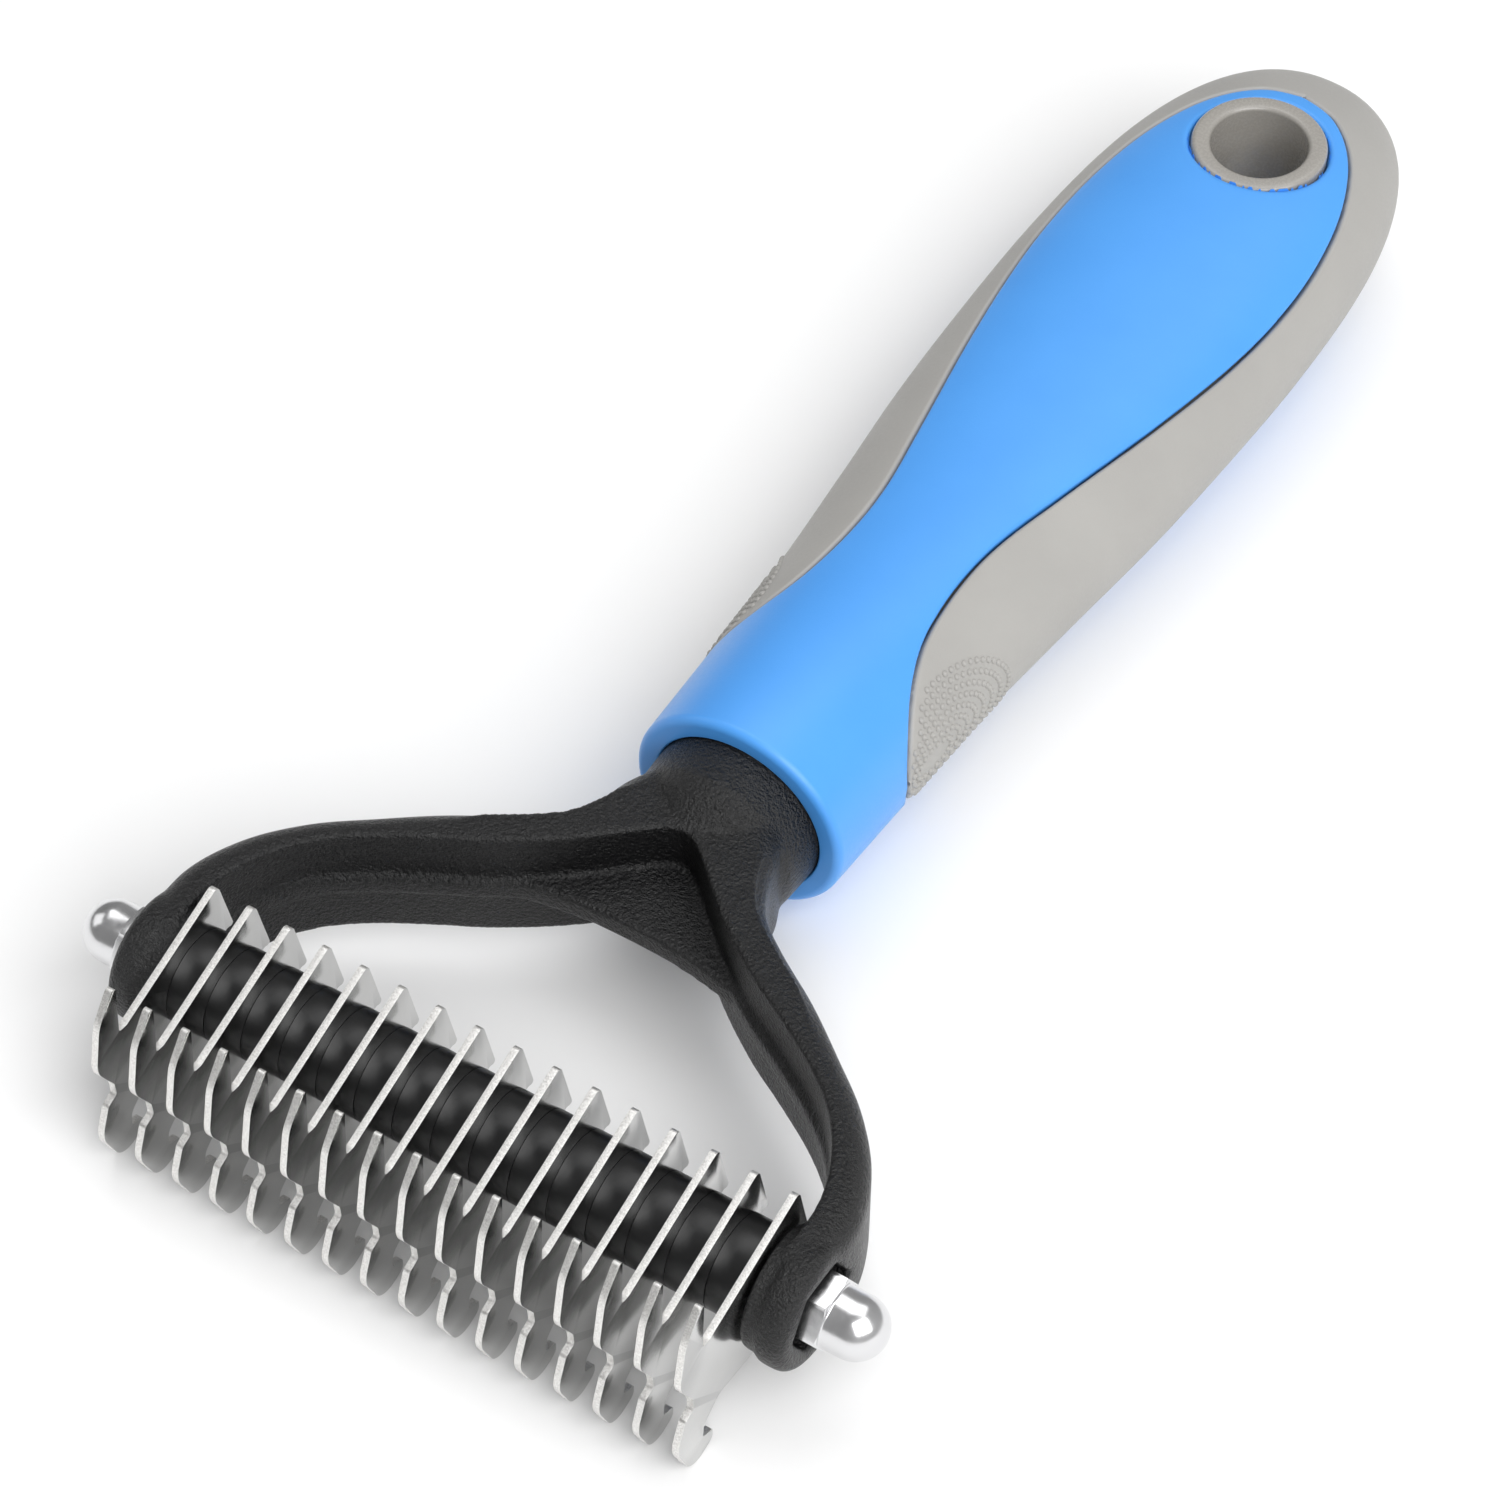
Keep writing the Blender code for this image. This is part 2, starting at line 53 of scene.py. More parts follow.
def new_material(name):
    made = bpy.data.materials.new(name)
    made.use_nodes = True
    tree = made.node_tree
    return made, tree, tree.nodes["Principled BSDF"]


def node(tree, kind, **values):
    made = tree.nodes.new(kind)
    for key, value in values.items():
        setattr(made, key, value)
    return made


def coords(tree, scale=(1.0, 1.0, 1.0)):
    source = tree.nodes.new("ShaderNodeTexCoord")
    mapping = node(tree, "ShaderNodeMapping")
    mapping.inputs["Scale"].default_value = scale
    tree.links.new(source.outputs["Object"], mapping.inputs["Vector"])
    return mapping.outputs["Vector"]


def noise(tree, vector, scale, detail=3.0, rough=0.55):
    made = node(tree, "ShaderNodeTexNoise")
    made.inputs["Scale"].default_value = scale
    made.inputs["Detail"].default_value = detail
    made.inputs["Roughness"].default_value = rough
    tree.links.new(vector, made.inputs["Vector"])
    return made.outputs["Fac"]


def spread(tree, value, low, high, start=0.3, stop=0.7):
    made = node(tree, "ShaderNodeMapRange")
    made.inputs["From Min"].default_value = start
    made.inputs["From Max"].default_value = stop
    made.inputs["To Min"].default_value = low
    made.inputs["To Max"].default_value = high
    tree.links.new(value, made.inputs["Value"])
    return made.outputs["Result"]


def blend_colours(tree, factor, first, second):
    made = node(tree, "ShaderNodeMix", data_type="RGBA")
    made.inputs["A"].default_value = (*first, 1.0)
    made.inputs["B"].default_value = (*second, 1.0)
    tree.links.new(factor, made.inputs["Factor"])
    return made.outputs["Result"]


def bump(tree, shader, height, strength, distance, chain=None):
    made = node(tree, "ShaderNodeBump")
    made.inputs["Strength"].default_value = strength
    made.inputs["Distance"].default_value = distance
    tree.links.new(height, made.inputs["Height"])
    if chain is not None:
        tree.links.new(chain, made.inputs["Normal"])
    tree.links.new(made.outputs["Normal"], shader.inputs["Normal"])
    return made.outputs["Normal"]


# Pointiness from which an edge starts to take the painted highlight, and where it takes it fully.
HIGHLIGHT_START = 0.52
HIGHLIGHT_STOP = 0.62


def painted_edge_highlight(tree, colour, highlight, amount=1.0):
    """Lightens a colour along the convex edges: a painted highlight where light would catch them.
    """
    shape = tree.nodes.new("ShaderNodeNewGeometry")
    made = node(tree, "ShaderNodeMix", data_type="RGBA")
    made.inputs["B"].default_value = (*highlight, 1.0)
    share = spread(tree, shape.outputs["Pointiness"], 0.0, amount, HIGHLIGHT_START, HIGHLIGHT_STOP)
    tree.links.new(share, made.inputs["Factor"])
    tree.links.new(colour, made.inputs["A"])
    return made.outputs["Result"]


def black_nylon():
    made, tree, shader = new_material("look_yoke_nylon")
    where = coords(tree)
    shader.inputs["Specular IOR Level"].default_value = 0.45
    tone = spread(tree, noise(tree, where, 900.0, 4.0), 0.0, 1.0)
    base = blend_colours(tree, tone, (0.0025, 0.0025, 0.003), (0.006, 0.006, 0.0063))
    # Painted highlight: the convex edges of the nylon are lightened where light would catch them.
    tree.links.new(painted_edge_highlight(tree, base, (0.016, 0.016, 0.0165)), shader.inputs["Base Color"])
    tree.links.new(spread(tree, noise(tree, where, 4200.0, 2.0), 0.24, 0.44),
                   shader.inputs["Roughness"])
    grain = bump(tree, shader, noise(tree, where, 2300.0, 3.0, 0.6), 1.0, 0.00040)
    bump(tree, shader, noise(tree, where, 1000.0, 2.0), 0.20, 0.00016, grain)
    return made


def gloss_black():
    made, tree, shader = new_material("look_spacer_black")
    where = coords(tree)
    shader.inputs["Base Color"].default_value = (0.006, 0.006, 0.0065, 1.0)
    tree.links.new(spread(tree, noise(tree, where, 500.0), 0.28, 0.40), shader.inputs["Roughness"])
    bump(tree, shader, noise(tree, where, 700.0), 0.05, 0.0001)
    return made


def blade_face():
    made, tree, shader = new_material("look_blade_face")
    grain = coords(tree, (1.0, 0.35, 1.0))
    where = coords(tree)
    shader.inputs["Metallic"].default_value = 1.0
    tone = spread(tree, noise(tree, where, 90.0, 2.0), 0.0, 1.0)
    base = blend_colours(tree, tone, (0.46, 0.46, 0.46), (0.54, 0.54, 0.535))
    # Painted highlight: the blades' convex edges are lightened at 0.6 strength where light would
    # catch them.
    tree.links.new(painted_edge_highlight(tree, base, (0.74, 0.74, 0.73), 0.6), shader.inputs["Base Color"])
    tree.links.new(spread(tree, noise(tree, grain, 1200.0, 2.0), 0.14, 0.20),
                   shader.inputs["Roughness"])
    bump(tree, shader, noise(tree, grain, 2600.0, 2.0), 0.03, 0.00003)
    return made


def blade_edge():
    made, tree, shader = new_material("look_blade_edge")
    where = coords(tree)
    shader.inputs["Metallic"].default_value = 1.0
    speck = noise(tree, where, 5200.0, 3.0, 0.7)
    tone = spread(tree, speck, 0.0, 1.0, 0.35, 0.65)
    tree.links.new(blend_colours(tree, tone, (0.62, 0.61, 0.59), (0.93, 0.92, 0.90)),
                   shader.inputs["Base Color"])
    tree.links.new(spread(tree, speck, 0.30, 0.50), shader.inputs["Roughness"])
    bump(tree, shader, speck, 0.55, 0.00009)
    return made


def chrome():
    made, tree, shader = new_material("look_nut_chrome")
    where = coords(tree)
    shader.inputs["Metallic"].default_value = 1.0
    shader.inputs["Base Color"].default_value = (0.74, 0.74, 0.75, 1.0)
    tree.links.new(spread(tree, noise(tree, where, 1400.0), 0.18, 0.26), shader.inputs["Roughness"])
    bump(tree, shader, noise(tree, where, 420.0), 0.05, 0.0002)
    return made


def soft_plastic(name, dark, light, rough_low, rough_high, grain, coat):
    made, tree, shader = new_material(name)
    where = coords(tree)
    tone = spread(tree, noise(tree, where, 60.0), 0.0, 1.0)
    tree.links.new(blend_colours(tree, tone, dark, light), shader.inputs["Base Color"])
    tree.links.new(spread(tree, noise(tree, where, 2600.0, 2.0), rough_low, rough_high),
                   shader.inputs["Roughness"])
    shader.inputs["Coat Weight"].default_value = coat
    shader.inputs["Coat Roughness"].default_value = 0.35
    bump(tree, shader, noise(tree, where, 5200.0, 2.0), grain, 0.00005)
    return made


def plain(name, colour, roughness):
    made, tree, shader = new_material(name)
    shader.inputs["Base Color"].default_value = (*colour, 1.0)
    shader.inputs["Roughness"].default_value = roughness
    return made


# ---------------------------------------------------------------- mesh helpers

def to_world(point, x=0.0):
    """World position in metres of a point in millimetres from the middle of the rod."""
    return Vector(((point[0] + x) * MM, (point[1] + AXLE_Y) * MM, (point[2] + AXLE_Z) * MM))


def publish(bm, name, materials, nodes, body, smooth_angle=40.0):
    """Makes a visible piece, hides the CAD nodes it stands for and hangs it on its body."""
    bmesh.ops.recalc_face_normals(bm, faces=bm.faces)
    mesh = bpy.data.meshes.new(name)
    bm.to_mesh(mesh)
    bm.free()
    for item in materials:
        mesh.materials.append(item)
    made = bpy.data.objects.new(name, mesh)
    bpy.context.scene.collection.objects.link(made)
    for face in mesh.polygons:
        face.use_smooth = True
    mesh.set_sharp_from_angle(angle=math.radians(smooth_angle))
    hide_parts(*nodes)
    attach(made, body)
    return made


def scratch(bm, name):
    """Turns a bmesh into a passing object, for modifiers to work on."""
    bmesh.ops.recalc_face_normals(bm, faces=bm.faces)
    mesh = bpy.data.meshes.new(name)
    bm.to_mesh(mesh)
    bm.free()
    made = bpy.data.objects.new(name, mesh)
    bpy.context.scene.collection.objects.link(made)
    return made


def modified(target, tool=None, operation=None, **settings):
    """Applies one modifier to the target and returns it; a Boolean's tool is removed."""
    if tool is not None:
        step = target.modifiers.new("step", "BOOLEAN")
        step.operation = operation
        step.solver = "EXACT"
        step.object = tool
    else:
        step = target.modifiers.new("step", settings.pop("kind"))
        for key, value in settings.items():
            setattr(step, key, value)
    bpy.context.view_layer.update()
    graph = bpy.context.evaluated_depsgraph_get()
    mesh = bpy.data.meshes.new_from_object(target.evaluated_get(graph))
    target.modifiers.clear()
    old = target.data
    target.data = mesh
    bpy.data.meshes.remove(old)
    if tool is not None:
        bpy.data.objects.remove(tool, do_unlink=True)
    return target


def take_bmesh(target):
    """The mesh of a passing object as a bmesh; the object is removed."""
    bm = bmesh.new()
    bm.from_mesh(target.data)
    bpy.data.objects.remove(target, do_unlink=True)
    return bm


def rounded_corners(corners, steps):
    """Closed outline from (y, z, radius) corners."""
    outline = []
    count = len(corners)
    for index in range(count):
        before = Vector(corners[index - 1][:2])
        corner = Vector(corners[index][:2])
        after = Vector(corners[(index + 1) % count][:2])
        radius = corners[index][2]
        back = (before - corner).normalized()
        ahead = (after - corner).normalized()
        half = 0.5 * back.angle(ahead)
        centre = corner + (back + ahead).normalized() * (radius / math.sin(half))
        start = corner + back * (radius / math.tan(half)) - centre
        stop = corner + ahead * (radius / math.tan(half)) - centre
        sweep = start.angle_signed(stop)
        for step in range(steps + 1):
            outline.append(centre + Matrix.Rotation(-sweep * step / steps, 2) @ start)
    return outline


def smooth_curve(keys, steps):
    """Catmull-Rom curve through the keys."""
    points = [Vector(key) for key in keys]
    run = []
    for index in range(len(points) - 1):
        a = points[max(index - 1, 0)]
        b = points[index]
        c = points[index + 1]
        d = points[min(index + 2, len(points) - 1)]
        for step in range(steps):
            t = step / steps
            run.append(0.5 * (2.0 * b + (c - a) * t
                              + (2.0 * a - 5.0 * b + 4.0 * c - d) * t * t
                              + (3.0 * b - a - 3.0 * c + d) * t * t * t))
    run.append(points[-1].copy())
    return run


def lathe(profile, segments, axis, side=1.0, shift=(0.0, 0.0, 0.0), closed=False):
    """Solid of revolution from (station, radius) pairs in millimetres, about X, Y or Z."""
    bm = bmesh.new()

    def spot(station, radius, angle):
        u = radius * math.cos(angle)
        v = radius * math.sin(angle)
        along = side * station
        point = {"X": (along, u, v), "Y": (v, along, u), "Z": (u, v, along)}[axis]
        return to_world((point[0] + shift[0], point[1] + shift[1], point[2] + shift[2]))

    rings = []
    for station, radius in profile:
        if radius < 1e-6:
            rings.append([bm.verts.new(spot(station, 0.0, 0.0))])
        else:
            rings.append([bm.verts.new(spot(station, radius, 2.0 * math.pi * k / segments))
                          for k in range(segments)])
    pairs = list(zip(rings, rings[1:]))
    if closed:
        pairs.append((rings[-1], rings[0]))
    for lower, upper in pairs:
        for k in range(segments):
            n = (k + 1) % segments
            if len(lower) == 1 and len(upper) == 1:
                continue
            if len(lower) == 1:
                bm.faces.new((lower[0], upper[k], upper[n]))
            elif len(upper) == 1:
                bm.faces.new((lower[k], upper[0], lower[n]))
            else:
                bm.faces.new((lower[k], upper[k], upper[n], lower[n]))
    return bm


def arc(centre, radius, start, stop, steps):
    """Points of an arc in (station, radius) space; angles in degrees from the station axis."""
    run = []
    for step in range(steps + 1):
        angle = math.radians(start + (stop - start) * step / steps)
        run.append((centre[0] + radius * math.cos(angle), centre[1] + radius * math.sin(angle)))
    return run


def plate(outline, low, high, axis, edge_round=0.0, segments=3):
    """Outline extruded along X (it is y, z) or Z (it is x, y), with its rims rounded."""
    bm = bmesh.new()
    ring = []
    for point in outline:
        spot = (low, point.x, point.y) if axis == "X" else (point.x, point.y, low)
        ring.append(bm.verts.new(spot))
    face = bm.faces.new(ring)
    grown = bmesh.ops.extrude_face_region(bm, geom=[face])
    moved = [item for item in grown["geom"] if isinstance(item, bmesh.types.BMVert)]
    shift = Vector((high - low, 0.0, 0.0)) if axis == "X" else Vector((0.0, 0.0, high - low))
    bmesh.ops.translate(bm, verts=moved, vec=shift)
    bmesh.ops.recalc_face_normals(bm, faces=bm.faces)
    if edge_round > 0.0:
        rims = [edge for edge in bm.edges if any(len(side.verts) > 4 for side in edge.link_faces)]
        bmesh.ops.bevel(bm, geom=rims, offset=edge_round, segments=segments, profile=0.5,
                        affect="EDGES", clamp_overlap=True)
    bmesh.ops.triangulate(bm, faces=[side for side in bm.faces if len(side.verts) > 4])
    return bm


def settle(bm, x=0.0):
    """Moves a bmesh in millimetres from the rod to its place in the world."""
    for vert in bm.verts:
        vert.co = to_world(vert.co, x)
    return bm


# ---------------------------------------------------------------- blades, spacers, nuts

BLADE_CORNERS = [
    (4.9, 10.5, 0.8), (7.0, 1.6, 0.35), (4.6, 3.2, 0.9), (5.6, -3.2, 3.0), (0.2, -8.9, 4.0),
    (-10.4, -7.9, 1.8), (-13.3, -10.2, 1.6), (-13.5, -12.3, 0.6), (-11.6, -13.0, 0.4),
    (-11.6, -14.6, 0.8), (-15.6, -16.0, 2.6), (-18.5, -9.4, 4.0), (-16.9, -5.2, 0.7),
    (-15.3, -4.6, 0.6), (-15.5, -2.6, 0.5), (-18.0, 2.0, 4.0), (-16.8, 8.6, 5.0),
    (-13.4, 13.2, 0.45), (-13.7, 4.8, 0.45), (-12.4, 4.6, 0.45)]
HALF_BLADE = 0.425
BLADE_ROUND = 0.10
FLAT_FACE = 0.97
BLADE_COUNT = 16
PITCH = 5.0
SPACER_BORE = 2.8
SPACER_SHOULDER = 5.70
SPACER_ROUND = 0.05
SPACER_SLIT = 0.02


def make_blades(face_look, edge_look):
    outline = rounded_corners(BLADE_CORNERS, 10)
    for index in range(BLADE_COUNT):
        bm = plate(outline, -HALF_BLADE, HALF_BLADE, "X", BLADE_ROUND)
        for face in bm.faces:
            face.material_index = 0 if abs(face.normal.x) > FLAT_FACE else 1
        settle(bm, (index - 0.5 * (BLADE_COUNT - 1)) * PITCH)
        name = "blade_%02d" % (index + 1)
        publish(bm, "look_" + name, [face_look, edge_look], [name], BLADES,
                35.0)


def make_spacers(look):
    half = 0.5 * PITCH - HALF_BLADE - SPACER_SLIT
    profile = [(-half, SPACER_BORE)]
    profile += arc((SPACER_ROUND - half, SPACER_SHOULDER), SPACER_ROUND, 180, 90, 3)
    profile += arc((half - SPACER_ROUND, SPACER_SHOULDER), SPACER_ROUND, 90, 0, 3)
    profile += [(half, SPACER_BORE)]
    for index in range(BLADE_COUNT - 1):
        name = "spacer_%02d" % (index + 1)
        place = ((index + 1 - 0.5 * BLADE_COUNT) * PITCH, 0.0, 0.0)
        bm = lathe(profile, 72, "X", 1.0, place, closed=True)
        publish(bm, "look_" + name, [look], [name], BLADES)


NUT_BASE = 41.9
NUT_TALL = 10.0
HEX_TALL = 4.0
HEX_R = 8.0 / math.sqrt(3.0)
HEX_CHAMFER = 0.45
HEX_SPARE = 0.25
DOME_R = 3.75
SHOULDER_R = 3.95
SHOULDER_ROUND = 0.2


def bar_along_x(side, low, high, radius, sides, name):
    """Regular bar about the rod axis, for cutting and trimming."""
    bm = bmesh.new()
    place = Matrix.Translation((side * 0.5 * (low + high), 0.0, 0.0))
    bmesh.ops.create_cone(bm, cap_ends=True, segments=sides, radius1=radius, radius2=radius,
                          depth=high - low, matrix=place @ Matrix.Rotation(0.5 * math.pi, 4, "Y"))
    return scratch(settle(bm), name)


def make_nut(name, side, body, look):
    """Domed nut: a turned blank trimmed by a hexagon, with a bar that spares the dome."""
    blank = [(NUT_BASE, 0.0), (NUT_BASE, HEX_R - HEX_CHAMFER), (NUT_BASE + 0.35, HEX_R + HEX_SPARE),
             (NUT_BASE + HEX_TALL - 0.35, HEX_R + HEX_SPARE),
             (NUT_BASE + HEX_TALL, HEX_R - HEX_CHAMFER), (NUT_BASE + HEX_TALL, SHOULDER_R)]
    blank += arc((NUT_BASE + HEX_TALL + SHOULDER_ROUND, SHOULDER_R), SHOULDER_ROUND, 180, 270, 4)
    blank += arc((NUT_BASE + NUT_TALL - DOME_R, 0.0), DOME_R, 90, 0, 20)[:-1]
    blank += [(NUT_BASE + NUT_TALL, 0.0)]
    solid = scratch(lathe(blank, 72, "X", side), "blank")
    hexagon = bar_along_x(side, 41.0, NUT_BASE + HEX_TALL, HEX_R, 6, "hexagon")
    modified(hexagon, bar_along_x(side, 43.0, 54.0, 3.97, 48, "bar"), "UNION")
    modified(solid, hexagon, "INTERSECT")
    modified(solid, kind="BEVEL", width=0.00010, segments=2, limit_method="ANGLE",
             angle_limit=math.radians(28.0), use_clamp_overlap=True)
    publish(take_bmesh(solid), "look_" + name, [look], [name], body, 24.0)


# ---------------------------------------------------------------- yoke

ARM_OUTER = [(43.9, 0.0), (43.9, 7.5), (41.0, 14.5), (36.2, 20.3), (30.4, 25.0),
             (24.3, 29.6), (17.7, 33.8), (13.4, 37.2), (11.2, 41.0), (10.2, 44.5)]
ARM_INNER = [(39.5, 0.0), (39.2, 6.5), (37.3, 12.0), (33.9, 17.0), (29.2, 21.0),
             (23.0, 24.8), (17.0, 28.2), (10.0, 33.2), (2.6, 39.8), (0.0, 41.0)]
ARM_ROOT = (8.0, 49.0)
OUTER_FOOT = -3.0
INNER_FOOT = -9.0
ARM_HALF = 8.0
ARM_ROUND = 3.0
WINDOW_HALF = 9.0
WEB_EDGE = [(-24.5, 25.0), (-20.0, 27.4), (-10.0, 30.0), (0.0, 30.8), (10.0, 30.0), (20.0, 27.4),
            (24.5, 25.0)]
WEB_TOP = [(24.0, 27.5), (12.0, 34.5), (0.0, 43.0), (-12.0, 34.5), (-24.0, 27.5)]
WEB_HALF = 1.5
RIDGE_SPAN = (8.0, 30.0)
RIDGE_RISE = 0.9
RIDGE_SINK = Vector((-0.7, -0.7)) * 1.2
RIDGE_HALF = 1.4
NECK_PROFILE = [(41.2, 0.0), (41.2, 7.9), (43.0, 8.8), (45.0, 10.0), (47.0, 10.65), (50.6, 10.8),
                (54.6, 10.8), (54.6, 0.0)]
LUG_PROFILE = [(38.2, 0.0), (38.2, 7.2), (38.5, 7.4), (40.0, 7.4), (40.2, 7.6), (40.7, 8.0),
               (42.6, 8.0)]
LUG_ROUND = 1.4
LUG_END = 44.0
POCKET_FLOOR = 41.7
POCKET_R = 9.6 / math.sqrt(3.0)
VOXEL = 0.00030


def arm_outlines():
    """Outer and inner plan of the two arms, anticlockwise, each with its foot past the rod."""
    outer = smooth_curve(ARM_OUTER + [ARM_ROOT], 10)
    inner = smooth_curve(ARM_INNER, 10)
    plans = []
    for run, foot in ((outer, OUTER_FOOT), (inner, INNER_FOOT)):
        mirrored = [Vector((-p.x, p.y)) for p in reversed(run) if p.x > 0.0]
        feet = [Vector((run[0].x, foot)), Vector((-run[0].x, foot))]
        plans.append(feet[:1] + run + mirrored + feet[1:])
    return plans


def ridge_outline(side):
    """Low rib that carries the web's line on along the inner face of an arm."""
    inner = [p for p in smooth_curve(ARM_INNER, 10) if RIDGE_SPAN[0] < p.y < RIDGE_SPAN[1]]
    offset = []
    for index, point in enumerate(inner):
        before = inner[max(index - 1, 0)]
        after = inner[min(index + 1, len(inner) - 1)]
        along = (after - before).normalized()
        away = Vector((-along.y, along.x))
        if away.y > 0.0:
            away = -away
        share = index / (len(inner) - 1)
        swell = math.sin(math.pi * min(share * 1.15 + 0.02, 1.0) * 0.5)
        offset.append(point + away * RIDGE_RISE * swell)
    back = [point - RIDGE_SINK for point in reversed(inner)]
    return [Vector((side * p.x, p.y)) for p in offset + back]


def crowned(outline, half, radius, steps):
    """Slab with widely rounded rims; the outline runs anticlockwise in plan."""
    count = len(outline)
    inward = []
    for k in range(count):
        before = (outline[k] - outline[k - 1]).normalized()
        after = (outline[(k + 1) % count] - outline[k]).normalized()
        first = Vector((-before.y, before.x))
        second = Vector((-after.y, after.x))
        inward.append((first + second) / (1.0 + first.dot(second)))
    quarter = [0.5 * math.pi * k / steps for k in range(steps + 1)]
    levels = [(radius * (1.0 - math.cos(t)), half - radius + radius * math.sin(t))
              for t in quarter]
    levels = [(inset, -z) for inset, z in reversed(levels)] + levels
    bm = bmesh.new()
    rings = []
    for inset, z in levels:
        rings.append([bm.verts.new((p.x + n.x * inset, p.y + n.y * inset, z))
                      for p, n in zip(outline, inward)])
    for lower, upper in zip(rings, rings[1:]):
        for k in range(count):
            n = (k + 1) % count
            bm.faces.new((lower[k], lower[n], upper[n], upper[k]))
    ends = [bm.faces.new(rings[0]), bm.faces.new(rings[-1])]
    bmesh.ops.triangulate(bm, faces=ends)
    return bm


def nut_pocket(side):
    return bar_along_x(side, POCKET_FLOOR, POCKET_FLOOR + 8.0, POCKET_R, 6, "pocket")


def joined(first, others):
    """One bmesh of overlapping shells, still separate until they are remeshed."""
    for shell in others:
        mesh = bpy.data.meshes.new("shell")
        bmesh.ops.recalc_face_normals(shell, faces=shell.faces)
        shell.to_mesh(mesh)
        shell.free()
        first.from_mesh(mesh)
        bpy.data.meshes.remove(mesh)
    return first


def make_yoke(look):
    outer, inner = arm_outlines()
    arms = scratch(settle(crowned(outer, ARM_HALF, ARM_ROUND, 8)), "arms")
    window = scratch(settle(plate(inner, -WINDOW_HALF, WINDOW_HALF, "Z")), "window")
    modified(arms, window, "DIFFERENCE")
    for side in (-1, 1):
        modified(arms, nut_pocket(side), "DIFFERENCE")
    web = smooth_curve(WEB_EDGE, 10) + [Vector(p) for p in WEB_TOP]
    shells = [settle(plate(web, -WEB_HALF, WEB_HALF, "Z")), lathe(NECK_PROFILE, 128, "Y")]
    rim = arc((LUG_END - LUG_ROUND, LUG_PROFILE[-1][1] - LUG_ROUND), LUG_ROUND, 90, 0, 8)
    for side in (-1, 1):
        shells.append(settle(plate(ridge_outline(side), -RIDGE_HALF, RIDGE_HALF, "Z")))
        lug = scratch(lathe(LUG_PROFILE + rim + [(LUG_END, 0.0)], 96, "X", side), "lug")
        shells.append(take_bmesh(modified(lug, nut_pocket(side), "DIFFERENCE")))
    body = scratch(joined(take_bmesh(arms), shells), "yoke_shells")
    modified(body, kind="REMESH", mode="VOXEL", voxel_size=VOXEL)
    modified(body, kind="SMOOTH", factor=0.5, iterations=14)
    publish(take_bmesh(body), "look_yoke", [look], ["yoke"], BODY, 180.0)


# ---------------------------------------------------------------- handle

START_Y = 52.0
END_Y = 192.0
CAP_Y = 145.0
CAP_POWER = 2.55
TOP_POWER = 2.2
HALF_WIDTH = [(50.0, 13.6), (60.0, 14.0), (72.0, 14.6), (85.0, 15.4), (100.0, 16.9),
              (118.0, 18.7), (140.0, 19.7), (160.0, 19.8), (200.0, 20.4)]
HALF_DEPTH = [(50.0, 13.6), (60.0, 13.3), (72.0, 12.5), (85.0, 11.6), (100.0, 10.9),
              (118.0, 10.4), (140.0, 10.1), (160.0, 10.0), (200.0, 10.1)]
PANEL_EDGE = [(20.0, 60.0), (16.0, 63.6), (13.0, 68.0), (10.4, 73.0), (8.5, 79.0), (7.6, 87.5),
              (8.0, 96.0), (10.0, 107.0), (13.3, 124.0), (15.4, 138.0), (16.1, 149.0),
              (15.6, 159.0), (13.7, 168.5), (10.2, 176.5), (5.4, 181.5), (0.0, 183.2)]
PANEL_MIDDLE = Vector((0.0, 165.0))
HOLE_Y = 171.5
PANEL_HOLE = 8.75
PANEL_HOLE_ROUND = 0.8
PANEL_GRID = 0.8
GROOVE = 0.16
JOINT_Y = 148.0
EDGE_ROUND = 0.45
SKIRT = 1.6
MOUTH_R = 10.9
MOUTH_Y = 57.0
MOUTH_ROUND = 0.25
LIP_ROUND = 1.0
LIP_Y = START_Y + LIP_ROUND
COLLAR_R = HALF_WIDTH[0][1]

WIDTH_RUN = np.array([tuple(p) for p in smooth_curve(HALF_WIDTH, 12)])
DEPTH_RUN = np.array([tuple(p) for p in smooth_curve(HALF_DEPTH, 12)])
PANEL_RUN = np.array([tuple(p) for p in smooth_curve(PANEL_EDGE, 40)])


def shape_at(y):
    """Half width, half depth and section power of the handle at a station."""
    width = float(np.interp(y, WIDTH_RUN[:, 0], WIDTH_RUN[:, 1]))
    depth = float(np.interp(y, DEPTH_RUN[:, 0], DEPTH_RUN[:, 1]))
    if y > CAP_Y:
        run = min((y - CAP_Y) / (END_Y - CAP_Y), 1.0)
        factor = max(1.0 - run ** CAP_POWER, 0.0) ** (1.0 / CAP_POWER)
        width *= factor
        depth *= factor ** 0.8
    ease = min(max((y - START_Y) / (CAP_Y - START_Y), 0.0), 1.0)
    return width, depth, 2.0 + (TOP_POWER - 2.0) * ease


def panel_half(y):
    """Half width of the blue panel, seen from the front."""
    if y >= PANEL_RUN[-1, 1]:
        return 0.0
    return float(np.interp(y, PANEL_RUN[:, 1], PANEL_RUN[:, 0]))


def surface(y, angle):
    """Point of the handle's skin at a station and a section angle from the side line."""
    width, depth, power = shape_at(y)
    c = math.cos(angle)
    s = math.sin(angle)
    return Vector((math.copysign(abs(c) ** (2.0 / power), c) * width, y,
                   math.copysign(abs(s) ** (2.0 / power), s) * depth))


SLOPE_STEP = 0.2
TIP_WIDTH = 0.3


def surface_normal(point):
    width, depth, power = shape_at(point.y)
    if width < TIP_WIDTH:
        return Vector((0.0, 1.0, 0.0))
    x = math.copysign(min(abs(point.x) / width, 1.0) ** (power - 1.0), point.x) / width
    z = math.copysign(min(abs(point.z) / depth, 1.0) ** (power - 1.0), point.z) / depth
    ahead = shape_at(min(point.y + SLOPE_STEP, END_Y))
    lean = -(ahead[1] - depth) / SLOPE_STEP * abs(z) - (ahead[0] - width) / SLOPE_STEP * abs(x)
    return Vector((x, lean, z)).normalized()


